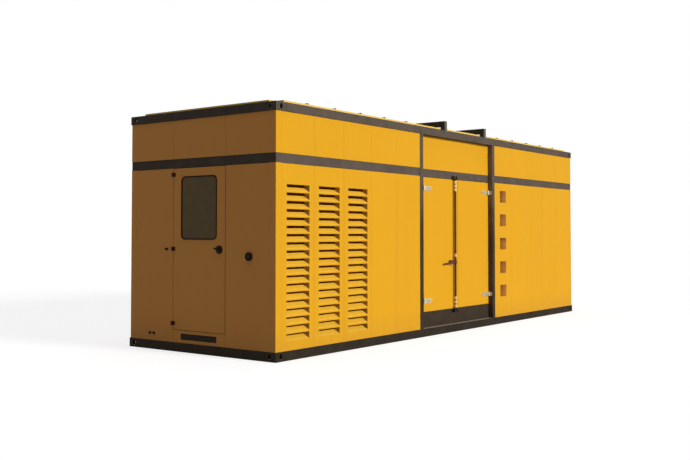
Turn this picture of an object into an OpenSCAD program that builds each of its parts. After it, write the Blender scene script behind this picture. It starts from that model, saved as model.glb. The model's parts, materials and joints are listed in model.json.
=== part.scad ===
// Walk-in enclosure of a containerised diesel generator set.
// Millimetres. Origin on the ground under the middle, +X along the length,
// the double doors face -Y and the personnel door is in the -X end.

/* [Body] */
// Length over the corner fittings
body_l = 8200; // [7600:10:9600]
// Width over the corner fittings
body_w = 2438; // [2300:1:2600]
// Height to the top of the top rail
body_h = 2896; // [2800:1:3100]
// Height of the base rails
base_h = 110; // [100:1:140]
// Height of the panels above the belt rail
upper_h = 471; // [300:1:600]
// Height of the belt rail
belt_h = 111; // [80:1:140]
// Height of the top rail
rail_h = 102; // [100:1:130]
// Depth of the base and top rails, outside to inside
rail_d = 160; // [150:1:200]
// Web thickness of the base channels
web_t = 8; // [5:0.5:12]
// Flange thickness of the base channels
flange_t = 10; // [8:0.5:14]
// Cross members under the floor
cross_n = 13; // [5:2:17]
// Width of a cross member
cross_w = 80; // [60:1:120]
// Thickness of the floor plate
floor_t = 6; // [4:0.5:8]

/* [Walls] */
// Width of each corner post
corner_w = 105; // [95:1:130]
// Radius of the corner post's outer edge
corner_r = 5; // [2:0.5:12]
// Set-back of the wall panels behind the rails
panel_inset = 8; // [4:1:16]
// Set-back of the belt rail behind the rails
belt_inset = 12; // [4:1:20]
// Thickness of the wall panels
wall_t = 78; // [70:1:90]
// Joint between neighbouring panels
panel_joint = 1.5; // [1:0.5:8]
// Bevel of the folded panel edges
edge_fold = 1.5; // [0.5:0.5:5]
// Shadow gap over the panels, under a rail
head_gap = 3; // [2:0.5:12]
// Panels on each side of the doorway
panel_n = 5; // [4:1:6]

/* [Corner fittings] */
// Length of a corner fitting along the body
fit_l = 178; // [170:1:190]
// Width of a corner fitting across the body
fit_w = 162; // [150:1:180]
// Side wall of a corner fitting
fit_t = 30; // [20:1:34]
// Top and bottom wall of a corner fitting
fit_cap = 14; // [10:1:18]
// Length of the twist-lock slot
slot_l = 124; // [110:1:130]
// Width of the twist-lock slot
slot_w = 63.5; // [55:0.5:70]
// Slot centre from the end of the body
slot_x = 101.5; // [95:0.5:105]
// Slot centre from the side of the body
slot_y = 89; // [85:0.5:95]
// Height of a side aperture
eye_h = 66; // [50:1:70]
// Width of a side aperture
eye_w = 44; // [40:1:52]

/* [Louvres] */
// Louvred panels counted from the personnel door end
louvre_panels = 3; // [1:1:4]
// Spacing of the louvre openings
louvre_pitch = 93.4; // [86:0.1:110]
// Height of one opening in the face
louvre_open = 76; // [45:1:80]
// Plain margin beside a louvre column
louvre_margin = 87.5; // [50:0.5:150]
// Top of the first opening below the belt rail
louvre_drop = 236; // [120:1:400]
// Least plain height under the last opening
louvre_foot = 100; // [60:1:300]
// Rise of a blade from the face to its back edge
blade_rise = 48; // [25:1:60]
// Sheet thickness of a blade
blade_t = 3.5; // [2.5:0.5:5]

/* [Double doors] */
// Clear width between the door posts
doorway_w = 2030; // [1800:10:2300]
// Face width of a door post
post_w = 80; // [60:1:100]
// Set-back of the door posts behind the rails
post_inset = 4; // [0:1:8]
// Set-back of the door faces behind the rails
door_depth = 76; // [70:1:90]
// Thickness of a door leaf
leaf_t = 60; // [45:1:60]
// Fixed stile between the left post and the left leaf
stile_w = 115; // [80:1:160]
// Height of the kick plate on the base rail
kick_h = 214; // [150:1:280]
// Gap round a leaf
leaf_gap = 6; // [6:0.5:10]
// Gap between the faces of the two leaves
meet_gap = 6; // [6:0.5:12]
// Bevel of the meeting edges across the leaf thickness
meet_bevel = 4; // [4:0.5:10]
// Hinge barrel radius
barrel_r = 13; // [10:0.5:13]
// Hinge pin radius
pin_r = 7; // [5:0.5:8]
// Height of one hinge barrel half
barrel_h = 32; // [24:1:40]
// Pin centre in front of the leaf face
pin_off = 14; // [14:0.5:16]
// Pin centre of the right leaf from its post
pin_jamb = 20; // [19:0.5:24]
// Length of a hinge strap from the pin
strap_l = 205; // [120:5:260]
// Height of a hinge strap and of a fixed flap
strap_h = 54; // [40:1:60]
// Thickness of a hinge strap
strap_t = 8; // [5:0.5:9]
// Corner radius of a hinge strap
strap_r = 16; // [4:1:19]
// Length of a fixed hinge flap
flap_l = 60; // [40:1:60]
// Gap between a hinge plate and the other half's barrel
knuckle_gap = 5; // [4:0.5:7]
// Upper hinge below the belt rail
hinge_drop = 160; // [100:5:300]
// Lower hinge above the kick plate
hinge_rise = 156; // [100:1:300]

/* [Lock rod] */
// Rod radius
rod_r = 16; // [12:0.5:17]
// Rod centre in front of the leaf face
rod_off = 30; // [28:0.5:32]
// Rod centre from the meeting edge of the leaves
rod_edge = 122; // [100:1:150]
// Radius of the cam heads in the keepers
cam_r = 19; // [17:0.5:20]
// Height of a cam head
cam_h = 40; // [30:1:50]
// Gap between a cam head and the keeper cheeks
keeper_gap = 9; // [8:0.5:12]
// Thickness of a keeper cheek
cheek_t = 22; // [14:1:26]
// Height of a keeper
keeper_h = 44; // [42:1:70]
// Reach of a keeper in front of the doorway faces
keeper_d = 52; // [50:1:60]
// Thickness of a keeper's back plate
keeper_t = 5; // [3:0.5:6]
// Handle height at the rod
handle_z = 1000; // [900:5:1020]
// Handle length from the rod
handle_l = 310; // [250:5:380]
// Droop of the handle below level, degrees
handle_droop = 4; // [0:1:15]
// Handle bar height at the hub
handle_h = 32; // [20:1:40]
// Handle bar height at the grip
grip_h = 24; // [16:1:32]
// Handle bar thickness
handle_t = 14; // [10:1:16]
// Padlock lugs on the handle, from the rod
lug_xs = [44, 128]; // [30:1:240]
// Width of a lug
lug_w = 30; // [20:1:40]
// Height of a lug above the middle of the bar
lug_h = 38; // [24:1:44]
// Radius of the handle hub
hub_r = 23; // [18:0.5:24]
// Height of the handle hub
hub_h = 56; // [40:1:80]
// Running gap round a rod or a hinge pin
run_gap = 0.4; // [0.3:0.1:1]
// Hinge pin ending below the top of its barrel
pin_short = 2; // [1:0.5:4]
// Wall of a rod guide
guide_t = 7; // [4:0.5:9]
// Width of a guide's foot plate
guide_w = 52; // [48:1:90]
// Height of one saddle of a guide
saddle_h = 42; // [20:1:46]
// Least spacing of the saddles
saddle_pitch = 48; // [42:1:80]
// Height of the upper rod guide
guide_top_h = 150; // [60:5:200]
// Height of the lower rod guide
guide_low_h = 160; // [60:5:200]
// Height of the middle rod guide
guide_mid_h = 46; // [42:2:80]
// Foot of the middle rod guide above the ground
guide_mid_z = 1078; // [1060:2:1200]
// Gap between a guide and the end of the leaf
guide_end = 18; // [10:1:40]
// Handle catch centre from the rod
catch_x = 88; // [80:1:160]
// Width of the handle catch
catch_w = 60; // [30:1:70]
// Thickness of the catch's ledge under the handle
catch_t = 6; // [4:0.5:8]
// Clearance between the handle and its catch
catch_gap = 6; // [5:0.5:8]

/* [Personnel door] */
// Width of the door opening in the end wall
pdoor_w = 880; // [780:5:960]
// Height of the sill panel under the door
sill_h = 146; // [120:1:200]
// Thickness of the door
pdoor_t = 60; // [45:1:70]
// Gap round the door
pdoor_gap = 6; // [6:0.5:10]
// Bevel of the lock edge across the door thickness
pdoor_bevel = 6; // [6:0.5:12]
// Pin centre in front of the wall face
pdoor_pin = 13; // [12:0.5:15]
// Hinge barrel radius
phinge_r = 11; // [9:0.5:11.5]
// Hinge pin radius
phinge_pin_r = 5; // [4:0.5:6]
// Height of one hinge barrel half
phinge_h = 24; // [20:1:32]
// Width of one hinge flap
phinge_w = 36; // [28:1:46]
// Gap between a hinge flap and the other half's barrel
phinge_gap = 3; // [2:0.5:5]
// Thickness of a hinge flap
phinge_t = 5; // [3:0.5:6]
// Outer hinges in from the bottom and the top of the doorway
phinge_in = 81; // [60:1:200]
// Height of the lock above the ground
lock_z = 1232; // [1100:2:1300]
// Lock centre from the lock side of the doorway
lock_edge = 96; // [80:1:120]
// Radius of the lock plate
lock_r = 49; // [40:1:55]
// Thickness of the lock plate
lock_t = 10; // [8:0.5:14]
// Radius of the lever hub
lever_r = 16; // [12:0.5:20]
// Length of the lock lever
lever_l = 72; // [60:1:100]
// Width of the lock lever
lever_w = 20; // [14:1:26]
// Thickness of the lock lever
lever_t = 12; // [8:0.5:16]
// Angle of the lock lever above level, degrees
lever_tilt = 14; // [0:1:60]
// Door beside the window
window_side = 140; // [110:1:200]
// Window height over the gasket
window_h = 760; // [500:5:800]
// Top of the window below the belt rail
window_drop = 105; // [80:1:200]
// Corner radius of the window
window_r = 62; // [40:1:90]
// Width of the gasket
gasket_w = 14; // [14:1:30]
// Gasket standing proud of the door
gasket_h = 4; // [3:0.5:10]
// Thickness of the window glass
glass_t = 6; // [4:0.5:10]
// Set-back of the glass behind the door face
glass_in = 2; // [0.5:0.5:10]
// Height of the cable slot under the door
cable_h = 75; // [50:1:90]
// Sill panel beside the cable slot
cable_side = 139; // [80:1:200]

/* [End wall fittings] */
// Door catch centre from the hinge side of the doorway
stay_x = 114; // [80:1:160]
// Width of the door catch
stay_w = 56; // [40:1:80]
// Height of the door catch
stay_h = 28; // [20:1:40]
// Thickness of the catch's foot plate
stay_t = 7; // [4:0.5:10]
// Radius of the catch's buffer
stay_r = 11; // [8:0.5:14]
// Reach of the catch's buffer
stay_d = 14; // [10:1:24]
// Stop button centre from the front corner
stop_x = 404; // [300:1:500]
// Height of the stop button above the ground
stop_z = 1159; // [1000:1:1300]
// Radius of the stop button housing
stop_r = 49; // [40:1:55]
// Reach of the stop button housing
stop_d = 24; // [16:1:34]
// Wall of the stop button housing
stop_rim = 10; // [6:0.5:14]
// Rounding of the housing's rim
stop_fold = 3; // [1:0.5:5]
// Depth of the housing's back plate
stop_floor = 8; // [5:0.5:12]
// Radius of the push button
button_r = 27; // [20:0.5:30]
// Reach of the push button
button_d = 29; // [20:0.5:36]
// Rise of the push button's domed head
button_dome = 7; // [3:0.5:10]
// Outer drain port from the rear corner
port_x = 375; // [300:1:450]
// Spacing of the drain ports
port_pitch = 70; // [50:1:100]
// Drain ports above the base rail
port_z = 89; // [60:1:140]
// Radius of a drain port's flange
port_r = 19; // [16:0.5:24]
// Thickness of a drain port's flange
port_t = 6; // [4:0.5:10]
// Radius of a drain port's socket
socket_r = 15; // [12:0.5:16]
// Radius of a drain port's bore
bore_r = 11; // [8:0.5:12]
// Reach of a drain port
port_d = 13; // [8:0.5:20]

/* [Ladder] */
// Width of a step pocket
pocket_w = 206; // [140:1:220]
// Height of a step pocket
pocket_h = 188; // [120:1:200]
// Depth of a step pocket
pocket_d = 106; // [60:1:130]
// Sheet of a pocket's box behind the panel
pocket_t = 4; // [3:0.5:6]
// Spacing of the step pockets
pocket_pitch = 372; // [300:1:400]
// Top of the first pocket below the belt rail
pocket_drop = 119; // [90:1:250]
// Least plain height under the last pocket
pocket_foot = 200; // [100:1:400]

/* [Roof] */
// Set-back of the roof plate from the sides
roof_inset = 60; // [50:1:90]
// Set-back of the roof plate from the ends
roof_end = 80; // [60:1:140]
// Gap between the roof sheets and the corner fittings
notch_gap = 14; // [6:1:30]
// Butt joint between two roof sheets
roof_joint = 0.4; // [0.2:0.1:0.8]
// Thickness of the roof plate
roof_t = 33; // [16:1:36]
// Upright seam ribs across the roof
rib_n = 14; // [8:1:18]
// Start of the rib spacing from the ends
rib_end = 107; // [80:1:140]
// Height of a roof rib
rib_h = 14; // [8:1:18]
// Width of a roof rib
rib_w = 10; // [8:1:60]
// Slope of a rib's flanks
rib_slope = 1.5; // [0.5:0.5:3]
// Height of the roof beams above the top rail
beam_top = 132; // [120:1:160]
// Depth of a roof beam
beam_d = 77; // [50:1:80]
// Width of a roof beam
beam_w = 68; // [50:1:80]
// Gap between a beam leg and the roof plate
leg_gap = 6; // [4:0.5:12]
// First beam from the middle of the body
beam_1 = -415; // [-520:5:-360]
// Second beam from the middle of the body
beam_2 = 766; // [720:2:780]
// Length of a beam foot lapping the rail face
lap_l = 38; // [20:1:60]
// Thickness of that lap
lap_t = 6; // [4:0.5:10]
// Length of a knee gusset along the beam
knee_l = 66; // [30:1:80]
// Height of a knee gusset
knee_h = 17; // [12:1:18]
// Thickness of a knee gusset
knee_t = 10; // [6:1:14]

/* [Output] */
// Sub-part to show

/* [Hidden] */
$fn = 48;
eps = 0.01;
over = 1;
yf = -body_w / 2;
xl = -body_l / 2;
rail_z = body_h - rail_h;
belt_z = rail_z - upper_h - belt_h;
upper_z = belt_z + belt_h;
kick_z = base_h + kick_h;
sill_z = base_h + sill_h;
panel_pitch = (body_l - 2 * corner_w - 2 * post_w - doorway_w) / (2 * panel_n);
door_x = doorway_w / 2;
stile_x = -door_x + stile_w;
meet_x = (stile_x + door_x) / 2;
leaf_y = yf + door_depth;
left_pin_x = stile_x + leaf_gap / 2;
right_pin_x = door_x - pin_jamb;
pin_y = leaf_y - pin_off;
plate_x = barrel_r + knuckle_gap;
hinge_zs = [kick_z + hinge_rise, belt_z - hinge_drop];
rod_x = meet_x - rod_edge;
rod_y = leaf_y - rod_off;
louvre_w = panel_pitch - 2 * louvre_margin;
louvre_top = belt_z - louvre_drop;
louvre_n = floor((louvre_top - louvre_open - base_h - louvre_foot) / louvre_pitch) + 1;
pocket_n = floor((belt_z - pocket_drop - pocket_h - base_h - pocket_foot) / pocket_pitch) + 1;
end_w = (body_w - 2 * corner_w - pdoor_w) / 2;
pdoor_x = xl + panel_inset;
pdoor_pin_x = pdoor_x - pdoor_pin;
pdoor_pin_y = pdoor_w / 2 - pdoor_gap / 2;
phinge_zs = [sill_z + phinge_in, (sill_z + belt_z) / 2, belt_z - phinge_in];
lock_y = -pdoor_w / 2 + lock_edge;
window_w = pdoor_w - 2 * window_side;
window_z = belt_z - window_drop - window_h / 2;
cable_w = pdoor_w - 2 * cable_side;
roof_z = body_h + roof_t;
rib_pitch = (body_l - 2 * rib_end) / (rib_n + 1);
rear_x = xl + corner_w + louvre_panels * panel_pitch;
rear_n = round((-xl - corner_w - rear_x) / panel_pitch);
rear_pitch = (-xl - corner_w - rear_x) / rear_n;
yellow = [0.93, 0.68, 0.18];
dark = [0.27, 0.23, 0.21];
silver = [0.75, 0.75, 0.73];
maroon = [0.28, 0.09, 0.08];
black = [0.06, 0.06, 0.06];
tint = [0.1, 0.1, 0.08];

// Box from its lowest corner to its highest
module span(a, b) {
    translate(a) cube(b - a);
}

// The child, made for the +X, +Y corner, at all four corners
module four_corners() {
    for (sx = [0, 1]) {
        for (sy = [0, 1]) {
            mirror([sx, 0, 0]) mirror([0, sy, 0]) children();
        }
    }
}

// Rectangular ring of rails between two set-backs from the body's outside
module ring(z0, z1, outer, inner) {
    difference() {
        span([xl + outer, yf + outer, z0], [-xl - outer, -yf - outer, z1]);
        span([xl + inner, yf + inner, z0 - over], [-xl - inner, -yf - inner, z1 + over]);
    }
}

// The room that the corner fittings take out of a ring or a plate
module fitting_room(z0, z1) {
    four_corners()
        span([-xl - fit_l, -yf - fit_w, z0 - over], [-xl + over, -yf + over, z1 + over]);
}

// Oval with its long axis along local X
module oval(l, w) {
    square([l - w, w], center = true);
    translate([(l - w) / 2, 0]) circle(d = w);
    translate([-(l - w) / 2, 0]) circle(d = w);
}

// One hollow corner fitting at the +X, +Y corner, with its slot in the face at slot_z
module fitting(z0, z1, slot_z) {
    zm = (z0 + z1) / 2;
    difference() {
        span([-xl - fit_l, -yf - fit_w, z0], [-xl, -yf, z1]);
        span([-xl - fit_l + fit_t, -yf - fit_w + fit_t, z0 + fit_cap],
            [-xl - fit_t, -yf - fit_t, z1 - fit_cap]);
        translate([-xl - slot_x, -yf - slot_y, slot_z])
            linear_extrude(2 * fit_cap + 2 * over, center = true) oval(slot_l, slot_w);
        translate([-xl - slot_y, -yf, zm])
            rotate([90, 90, 0]) linear_extrude(2 * fit_t + 2 * over, center = true) oval(eye_h, eye_w);
        translate([-xl, -yf - slot_y, zm])
            rotate([0, 90, 0]) linear_extrude(2 * fit_t + 2 * over, center = true) oval(eye_h, eye_w);
    }
}

// Four base channels, open towards the middle
module base_rails() {
    color(dark)
        difference() {
            ring(0, base_h, 0, rail_d);
            ring(flange_t, base_h - flange_t, web_t, rail_d + over);
            fitting_room(0, base_h);
        }
}

module cross_members() {
    reach = body_l - 2 * rail_d - 2 * cross_w;
    color(dark)
        for (i = [0 : cross_n - 1]) {
            x = (i / (cross_n - 1) - 0.5) * reach;
            span([x - cross_w / 2, yf + rail_d, 0], [x + cross_w / 2, -yf - rail_d, base_h - flange_t]);
        }
}

module floor_plate() {
    z0 = base_h - flange_t;
    color(dark)
        difference() {
            span([xl + rail_d, yf + rail_d, z0], [-xl - rail_d, -yf - rail_d, z0 + floor_t]);
            fitting_room(0, base_h);
        }
}

module bottom_fittings() {
    color(dark) four_corners() fitting(0, base_h, 0);
}

module top_fittings() {
    color(dark) four_corners() fitting(rail_z, body_h, body_h);
}

// One corner post with a rounded outer edge
module corner_post(z0, z1) {
    s = corner_w - panel_inset;
    translate([-xl - corner_w, -yf - corner_w, z0])
        linear_extrude(z1 - z0) {
            square([s - corner_r, s]);
            square([s, s - corner_r]);
            translate([s - corner_r, s - corner_r]) circle(r = corner_r);
        }
}

module corner_posts() {
    color(yellow)
        four_corners() {
            corner_post(base_h, belt_z);
            corner_post(upper_z, rail_z);
        }
}

module belt_rail() {
    color(dark)
        difference() {
            ring(belt_z, upper_z, belt_inset, panel_inset + wall_t);
            span([-door_x - post_w, yf, belt_z - over], [door_x + post_w, yf + rail_d, upper_z + over]);
        }
}

module top_rail() {
    color(dark)
        difference() {
            ring(rail_z, body_h, 0, rail_d);
            fitting_room(rail_z, body_h);
        }
}

module door_posts() {
    color(dark)
        for (s = [0, 1]) {
            mirror([s, 0, 0])
                span([door_x, yf + post_inset, base_h], [door_x + post_w, leaf_y + leaf_t, rail_z]);
        }
}

module hinge_stile() {
    color(yellow)
        span([-door_x, leaf_y, kick_z], [stile_x, leaf_y + leaf_t, belt_z]);
}

module kick_plate() {
    color(dark)
        span([-door_x, leaf_y, base_h], [door_x, leaf_y + leaf_t, kick_z]);
}

module doorway_belt() {
    color(dark)
        span([-door_x, leaf_y, belt_z], [door_x, leaf_y + leaf_t, upper_z]);
}

module doorway_panel() {
    color(yellow)
        span([-door_x, leaf_y, upper_z], [door_x, leaf_y + leaf_t, rail_z - head_gap]);
}

// Plan of a flat panel: the face on local Y 0, its long edges folded back
module panel_plan(w) {
    polygon([[0, edge_fold], [edge_fold, 0], [w - edge_fold, 0], [w, edge_fold], [w, wall_t], [0, wall_t]]);
}

// One flat panel in the front wall between the joint lines x0 and x0 + w
module wall_panel(x0, w, z0, z1) {
    translate([x0 + panel_joint / 2, yf + panel_inset, z0])
        linear_extrude(z1 - z0 - head_gap) panel_plan(w - panel_joint);
}

// Left joint line of panel i, on the left (0) or the right (1) of the doorway
function panel_x(i, s) = i * panel_pitch + (s == 0 ? xl + corner_w : door_x + post_w);

// What one louvre opening cuts away, as depth behind the face and height over the opening's sill:
// the slope is the top of its own blade, the upper edge follows the next blade and its turned-down lip
module louvre_cut() {
    back = wall_t + over;
    rise = blade_rise * back / wall_t;
    next = louvre_pitch - blade_t;
    polygon([[-over, 0], [0, 0], [back, rise], [back, rise + next], [blade_t, next],
        [blade_t, louvre_open], [-over, louvre_open]]);
}

// One panel with a column of louvres pressed out of it
module louvre_panel(x0) {
    difference() {
        wall_panel(x0, panel_pitch, base_h, belt_z);
        for (i = [0 : louvre_n - 1]) {
            translate([x0 + louvre_margin, yf + panel_inset, louvre_top - louvre_open - i * louvre_pitch])
                rotate([90, 0, 90]) linear_extrude(louvre_w) louvre_cut();
        }
    }
}

module louvre_bank() {
    for (i = [0 : louvre_panels - 1]) {
        louvre_panel(panel_x(i, 0));
    }
}

module front_louvre_panels() {
    color(yellow) louvre_bank();
}

module front_plain_panels() {
    color(yellow) {
        for (i = [louvre_panels : panel_n - 1]) {
            wall_panel(panel_x(i, 0), panel_pitch, base_h, belt_z);
        }
        for (i = [1 : panel_n - 1]) {
            wall_panel(panel_x(i, 1), panel_pitch, base_h, belt_z);
        }
    }
}

// Column of step pockets from a depth behind the panel's face, grown by a sheet round and behind them
module pockets(depth, sheet) {
    xm = panel_x(0, 1) + panel_pitch / 2;
    face = yf + panel_inset;
    half = pocket_w / 2 + sheet;
    for (i = [0 : pocket_n - 1]) {
        zt = belt_z - pocket_drop - i * pocket_pitch;
        span([xm - half, face + depth, zt - pocket_h - sheet],
            [xm + half, face + pocket_d + sheet, zt + sheet]);
    }
}

// Panel beside the doorway with a column of recessed steps
module ladder_panel() {
    color(yellow)
        difference() {
            union() {
                wall_panel(panel_x(0, 1), panel_pitch, base_h, belt_z);
                pockets(wall_t / 2, pocket_t);
            }
            pockets(-over, 0);
        }
}

module front_upper_panels() {
    color(yellow)
        for (s = [0, 1]) {
            for (i = [0 : panel_n - 1]) {
                wall_panel(panel_x(i, s), panel_pitch, upper_z, rail_z);
            }
        }
}

module rear_louvre_panels() {
    color(yellow) mirror([0, 1, 0]) louvre_bank();
}

// The rear's flat panels beyond the louvres, in about the front's width
module rear_row(z0, z1) {
    for (i = [0 : rear_n - 1]) {
        wall_panel(rear_x + i * rear_pitch, rear_pitch, z0, z1);
    }
}

module rear_plain_panels() {
    color(yellow) mirror([0, 1, 0]) rear_row(base_h, belt_z);
}

module rear_upper_panels() {
    color(yellow)
        mirror([0, 1, 0]) {
            for (i = [0 : louvre_panels - 1]) {
                wall_panel(panel_x(i, 0), panel_pitch, upper_z, rail_z);
            }
            rear_row(upper_z, rail_z);
        }
}

// One flat panel in the -X end wall between the joint lines y0 and y0 + w
module end_panel(y0, w, z0, z1) {
    translate([xl + panel_inset, y0 + w - panel_joint / 2, z0])
        rotate([0, 0, -90]) linear_extrude(z1 - z0 - head_gap) panel_plan(w - panel_joint);
}

// The two panels beside the middle of an end wall
module end_sides(z0, z1) {
    end_panel(yf + corner_w, end_w, z0, z1);
    end_panel(pdoor_w / 2, end_w, z0, z1);
}

module door_end_panels() {
    color(yellow) end_sides(base_h, belt_z);
}

module door_sill_panel() {
    zm = (base_h + sill_z) / 2;
    color(yellow)
        difference() {
            end_panel(-pdoor_w / 2, pdoor_w, base_h, sill_z + head_gap);
            span([xl, -cable_w / 2, zm - cable_h / 2],
                [pdoor_x + wall_t + over, cable_w / 2, zm + cable_h / 2]);
        }
}

module far_end_panels() {
    color(yellow)
        mirror([1, 0, 0]) {
            end_sides(base_h, belt_z);
            end_panel(-pdoor_w / 2, pdoor_w, base_h, belt_z);
        }
}

module end_upper_panels() {
    color(yellow)
        for (s = [0, 1]) {
            mirror([s, 0, 0]) {
                end_sides(upper_z, rail_z);
                end_panel(-pdoor_w / 2, pdoor_w, upper_z, rail_z);
            }
        }
}

// Roof of one wide sheet and a narrower one at each end between the corner fittings, butted together
module roof_plate() {
    wide = xl + fit_l + notch_gap;
    side = yf + fit_w + notch_gap;
    color(yellow) {
        span([wide, yf + roof_inset, body_h], [-wide, -yf - roof_inset, roof_z]);
        for (s = [0, 1]) {
            mirror([s, 0, 0]) span([xl + roof_end, side, body_h], [wide - roof_joint, -side, roof_z]);
        }
    }
}

module roof_ribs() {
    top = rib_w / 2 - rib_slope;
    color(dark)
        for (i = [1 : rib_n]) {
            translate([xl + rib_end + i * rib_pitch, -yf - roof_inset, roof_z])
                rotate([90, 0, 0])
                    linear_extrude(body_w - 2 * roof_inset)
                        polygon([[-rib_w / 2, 0], [rib_w / 2, 0], [top, rib_h], [-top, rib_h]]);
        }
}

// One portal beam over the roof, with legs, pointed feet on the rail faces and knee gussets
module roof_beam(x) {
    z1 = body_h + beam_top;
    z0 = z1 - beam_d;
    half = beam_w / 2;
    leg = roof_inset - leg_gap;
    span([x - half, yf, z0], [x + half, -yf, z1]);
    for (s = [0, 1]) {
        mirror([0, s, 0]) {
            span([x - half, yf, body_h], [x + half, yf + leg, z0 + eps]);
            translate([x, yf, 0])
                rotate([90, 0, 0])
                    linear_extrude(lap_t)
                        polygon([[-half, z1], [-half, body_h], [-half / 2, body_h - lap_l],
                            [half / 2, body_h - lap_l], [half, body_h], [half, z1]]);
            translate([x - knee_t / 2, yf + leg, z0])
                rotate([90, 0, 90])
                    linear_extrude(knee_t)
                        polygon([[-over, over], [knee_l, over], [knee_l, 0], [0, -knee_h], [-over, -knee_h]]);
        }
    }
}

module roof_beams() {
    color(dark) {
        roof_beam(beam_1);
        roof_beam(beam_2);
    }
}

// Fixed lower barrel of a leaf hinge with its pin, the hinge's middle on Z 0
module fixed_barrel() {
    translate([0, 0, -barrel_h]) {
        cylinder(r = barrel_r, h = barrel_h);
        cylinder(r = pin_r, h = 2 * barrel_h - pin_short);
    }
}

module door_hinges_fixed() {
    half = strap_h / 2;
    color(silver)
        for (z = hinge_zs) {
            translate([left_pin_x, pin_y, z]) {
                fixed_barrel();
                span([-flap_l, pin_off - strap_t, -half], [-plate_x, pin_off, half]);
                span([-plate_x - eps, pin_off - strap_t, -half], [0, pin_off, 0]);
                span([-barrel_r, 0, -barrel_h], [0, pin_off, 0]);
            }
            translate([right_pin_x, pin_y, z]) {
                fixed_barrel();
                span([0, -barrel_r, -barrel_h], [pin_jamb, strap_t - barrel_r, 0]);
                span([pin_jamb - strap_t, -plate_x, -half], [pin_jamb, strap_t - barrel_r, 0]);
                span([pin_jamb - strap_t, barrel_r - flap_l, -half], [pin_jamb, eps - plate_x, half]);
            }
        }
}

// Open-fronted keeper for a cam head, seated on the doorway face
module keeper(z0) {
    inner = cam_r + keeper_gap;
    translate([rod_x, leaf_y, z0]) {
        for (s = [0, 1]) {
            mirror([s, 0, 0]) span([inner, -keeper_d, 0], [inner + cheek_t, 0, keeper_h]);
        }
        span([-inner - eps, -keeper_t, 0], [inner + eps, 0, keeper_h]);
    }
}

module lock_keepers() {
    color(dark) {
        keeper(belt_z);
        keeper(kick_z - keeper_h);
    }
}

// One half of a personnel door hinge about its pin: the flap towards +Y, the barrel from z0 up
module phinge_half(z0) {
    back = pdoor_pin - phinge_t;
    flap = phinge_r + phinge_gap;
    translate([0, 0, z0]) cylinder(r = phinge_r, h = phinge_h);
    span([back, flap, -phinge_h], [pdoor_pin, phinge_w, phinge_h]);
    span([back, 0, z0], [pdoor_pin, flap + eps, z0 + phinge_h]);
    span([0, 0, z0], [pdoor_pin, phinge_r / 2, z0 + phinge_h]);
}

module personnel_hinges_fixed() {
    color(maroon)
        for (z = phinge_zs) {
            translate([pdoor_pin_x, pdoor_pin_y, z]) {
                phinge_half(-phinge_h);
                translate([0, 0, -phinge_h]) cylinder(r = phinge_pin_r, h = 2 * phinge_h - pin_short);
            }
        }
}

module personnel_hinges() {
    color(maroon)
        for (z = phinge_zs) {
            translate([pdoor_pin_x, pdoor_pin_y, z + run_gap])
                difference() {
                    mirror([0, 1, 0]) phinge_half(0);
                    translate([0, 0, -over]) cylinder(r = phinge_pin_r + run_gap, h = phinge_h + 2 * over);
                }
        }
}

// Moves a child made on the XY plane to stand on the end wall's face, its Z pointing out
module on_end_wall(y, z) {
    translate([pdoor_x, y, z]) rotate([0, -90, 0]) children();
}

// Hold-back catch for the open door: a foot plate and a round buffer
module door_catch() {
    color(dark)
        on_end_wall(pdoor_w / 2 + stay_x, lock_z) {
            span([-stay_h / 2, -stay_w / 2, 0], [stay_h / 2, stay_w / 2, stay_t]);
            cylinder(r = stay_r, h = stay_d);
        }
}

// Round housing with a raised rim round a domed push button
module stop_button() {
    well_r = stop_r - stop_rim;
    color(dark)
        on_end_wall(yf + stop_x, stop_z)
            rotate_extrude()
                polygon([[0, 0], [stop_r, 0], [stop_r, stop_d - stop_fold], [stop_r - stop_fold, stop_d],
                    [well_r, stop_d], [well_r, stop_floor], [button_r, stop_floor],
                    [button_r, button_d - button_dome], [button_r - button_dome, button_d], [0, button_d]]);
}

// Two short sockets with a flange and a blind bore
module drain_ports() {
    color(dark)
        for (i = [0, 1]) {
            on_end_wall(-yf - port_x - i * port_pitch, base_h + port_z)
                difference() {
                    union() {
                        cylinder(r = port_r, h = port_t);
                        cylinder(r = socket_r, h = port_d);
                    }
                    translate([0, 0, port_t / 2]) cylinder(r = bore_r, h = port_d);
                }
        }
}

// Rounded rectangle standing in the end wall's plane, pushed towards +X
module rounded(w, h, r, depth) {
    rotate([90, 0, 90])
        linear_extrude(depth) {
            square([w - 2 * r, h], center = true);
            square([w, h - 2 * r], center = true);
            for (sx = [-1, 1]) {
                for (sy = [-1, 1]) {
                    translate([sx * (w / 2 - r), sy * (h / 2 - r)]) circle(r = r);
                }
            }
        }
}

// The window outline, shrunk by the same amount on every side
module window_shape(shrink, depth) {
    rounded(window_w - 2 * shrink, window_h - 2 * shrink, window_r - shrink, depth);
}

module personnel_door() {
    y0 = -pdoor_w / 2 + pdoor_gap;
    y1 = pdoor_w / 2 - pdoor_gap;
    color(yellow)
        difference() {
            translate([pdoor_x, 0, sill_z + pdoor_gap])
                linear_extrude(belt_z - sill_z - 2 * pdoor_gap)
                    polygon([[0, y0], [pdoor_t, y0 + pdoor_bevel], [pdoor_t, y1], [0, y1]]);
            translate([pdoor_x - over, 0, window_z]) window_shape(gasket_w / 2, pdoor_t + 2 * over);
        }
}

// Clamping gasket: an outer lip on the door face and a channel that holds the glass
module window_gasket() {
    color(black)
        translate([pdoor_x, 0, window_z])
            difference() {
                union() {
                    translate([-gasket_h, 0, 0]) window_shape(0, gasket_h);
                    translate([-eps, 0, 0]) window_shape(gasket_w / 2 + eps, pdoor_t / 2);
                }
                translate([-gasket_h - over, 0, 0]) window_shape(gasket_w, pdoor_t);
            }
}

module window_glass() {
    color(tint)
        translate([pdoor_x + glass_in, 0, window_z]) window_shape(gasket_w, glass_t);
}

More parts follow.
